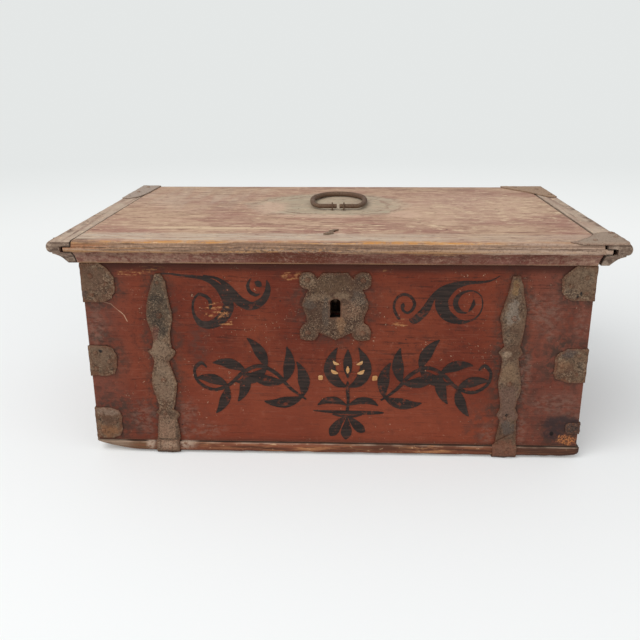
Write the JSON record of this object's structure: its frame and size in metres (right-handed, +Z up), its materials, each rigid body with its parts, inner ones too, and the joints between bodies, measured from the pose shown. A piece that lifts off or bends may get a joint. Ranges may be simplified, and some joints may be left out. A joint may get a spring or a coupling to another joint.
{
  "type": "wooden casket",
  "caption": "Small red-painted plank casket with a worn moulded lid, shaped iron straps, corner irons, a lock plate and a bail handle.",
  "frame": {"origin": "on the ground under the middle of the casket, at the underside of the two iron straps that it stands on", "axes": "+X along the front towards its right end, +Y from the front towards the hinges, +Z up"},
  "size_m": [0.56, 0.3535, 0.2427],
  "materials": {
    "red_paint": "worn matt red-brown paint",
    "worn_lid_paint": "paint rubbed down to pale wood",
    "bare_wood": "bare",
    "old_iron": "dark forged iron, worn and a little rusty"
  },
  "bodies": {
    "casket": {"front_board": "red_paint", "back_board": "red_paint", "left_end_board": "red_paint", "right_end_board": "red_paint", "bottom_board": "red_paint", "left_front_strap": "old_iron", "right_front_strap": "old_iron", "left_strap_upper_nail": "old_iron", "left_strap_lower_nail": "old_iron", "right_strap_upper_nail": "old_iron", "right_strap_lower_nail": "old_iron", "front_left_upper_corner_iron": "old_iron", "front_left_middle_corner_iron": "old_iron", "front_left_lower_corner_iron": "old_iron", "front_right_upper_corner_iron": "old_iron", "front_right_middle_corner_iron": "old_iron", "front_right_lower_corner_iron": "old_iron", "back_left_upper_corner_iron": "old_iron", "back_left_middle_corner_iron": "old_iron", "back_left_lower_corner_iron": "old_iron", "back_right_upper_corner_iron": "old_iron", "back_right_middle_corner_iron": "old_iron", "back_right_lower_corner_iron": "old_iron", "escutcheon": "old_iron", "escutcheon_upper_left_nail": "old_iron", "escutcheon_lower_left_nail": "old_iron", "escutcheon_upper_right_nail": "old_iron", "escutcheon_lower_right_nail": "old_iron", "lock_plate": "old_iron", "lock_cover": "old_iron", "bolt_guide": "old_iron", "lock_spring": "old_iron", "key_pin": "old_iron", "left_wall_hinge": "old_iron", "right_wall_hinge": "old_iron", "left_hinge_pin": "old_iron", "right_hinge_pin": "old_iron", "left_wall_hinge_nail": "old_iron", "right_wall_hinge_nail": "old_iron"},
    "lid": {"lid_board": "worn_lid_paint", "left_batten": "worn_lid_paint", "right_batten": "worn_lid_paint", "left_batten_peg": "bare_wood", "right_batten_peg": "bare_wood", "front_right_lid_plate": "old_iron", "back_right_lid_plate": "old_iron", "back_left_lid_plate": "old_iron", "front_right_plate_nail": "old_iron", "back_right_plate_nail": "old_iron", "back_left_plate_nail": "old_iron", "left_lid_hinge": "old_iron", "right_lid_hinge": "old_iron", "left_lid_hinge_nail": "old_iron", "right_lid_hinge_nail": "old_iron", "left_handle_staple": "old_iron", "right_handle_staple": "old_iron", "lock_catch": "old_iron"},
    "handle": {"bail_handle": "old_iron"},
    "bolt": {"lock_bolt": "old_iron"}
  },
  "joints": [
    {"name": "lid_hinge", "type": "hinge", "parent": "casket", "child": "lid", "pos_m": [0, 0.1633, 0.2052], "axis": [-1, 0, 0], "range_deg": [0, 110]},
    {"name": "handle_swing", "type": "hinge", "parent": "lid", "child": "handle", "pos_m": [0, -0.002, 0.2385], "axis": [1, 0, 0], "range_deg": [0, 178]},
    {"name": "bolt_slide", "type": "slide", "parent": "casket", "child": "bolt", "axis": [1, 0, 0], "range_m": [0, 0.012]}
  ]
}
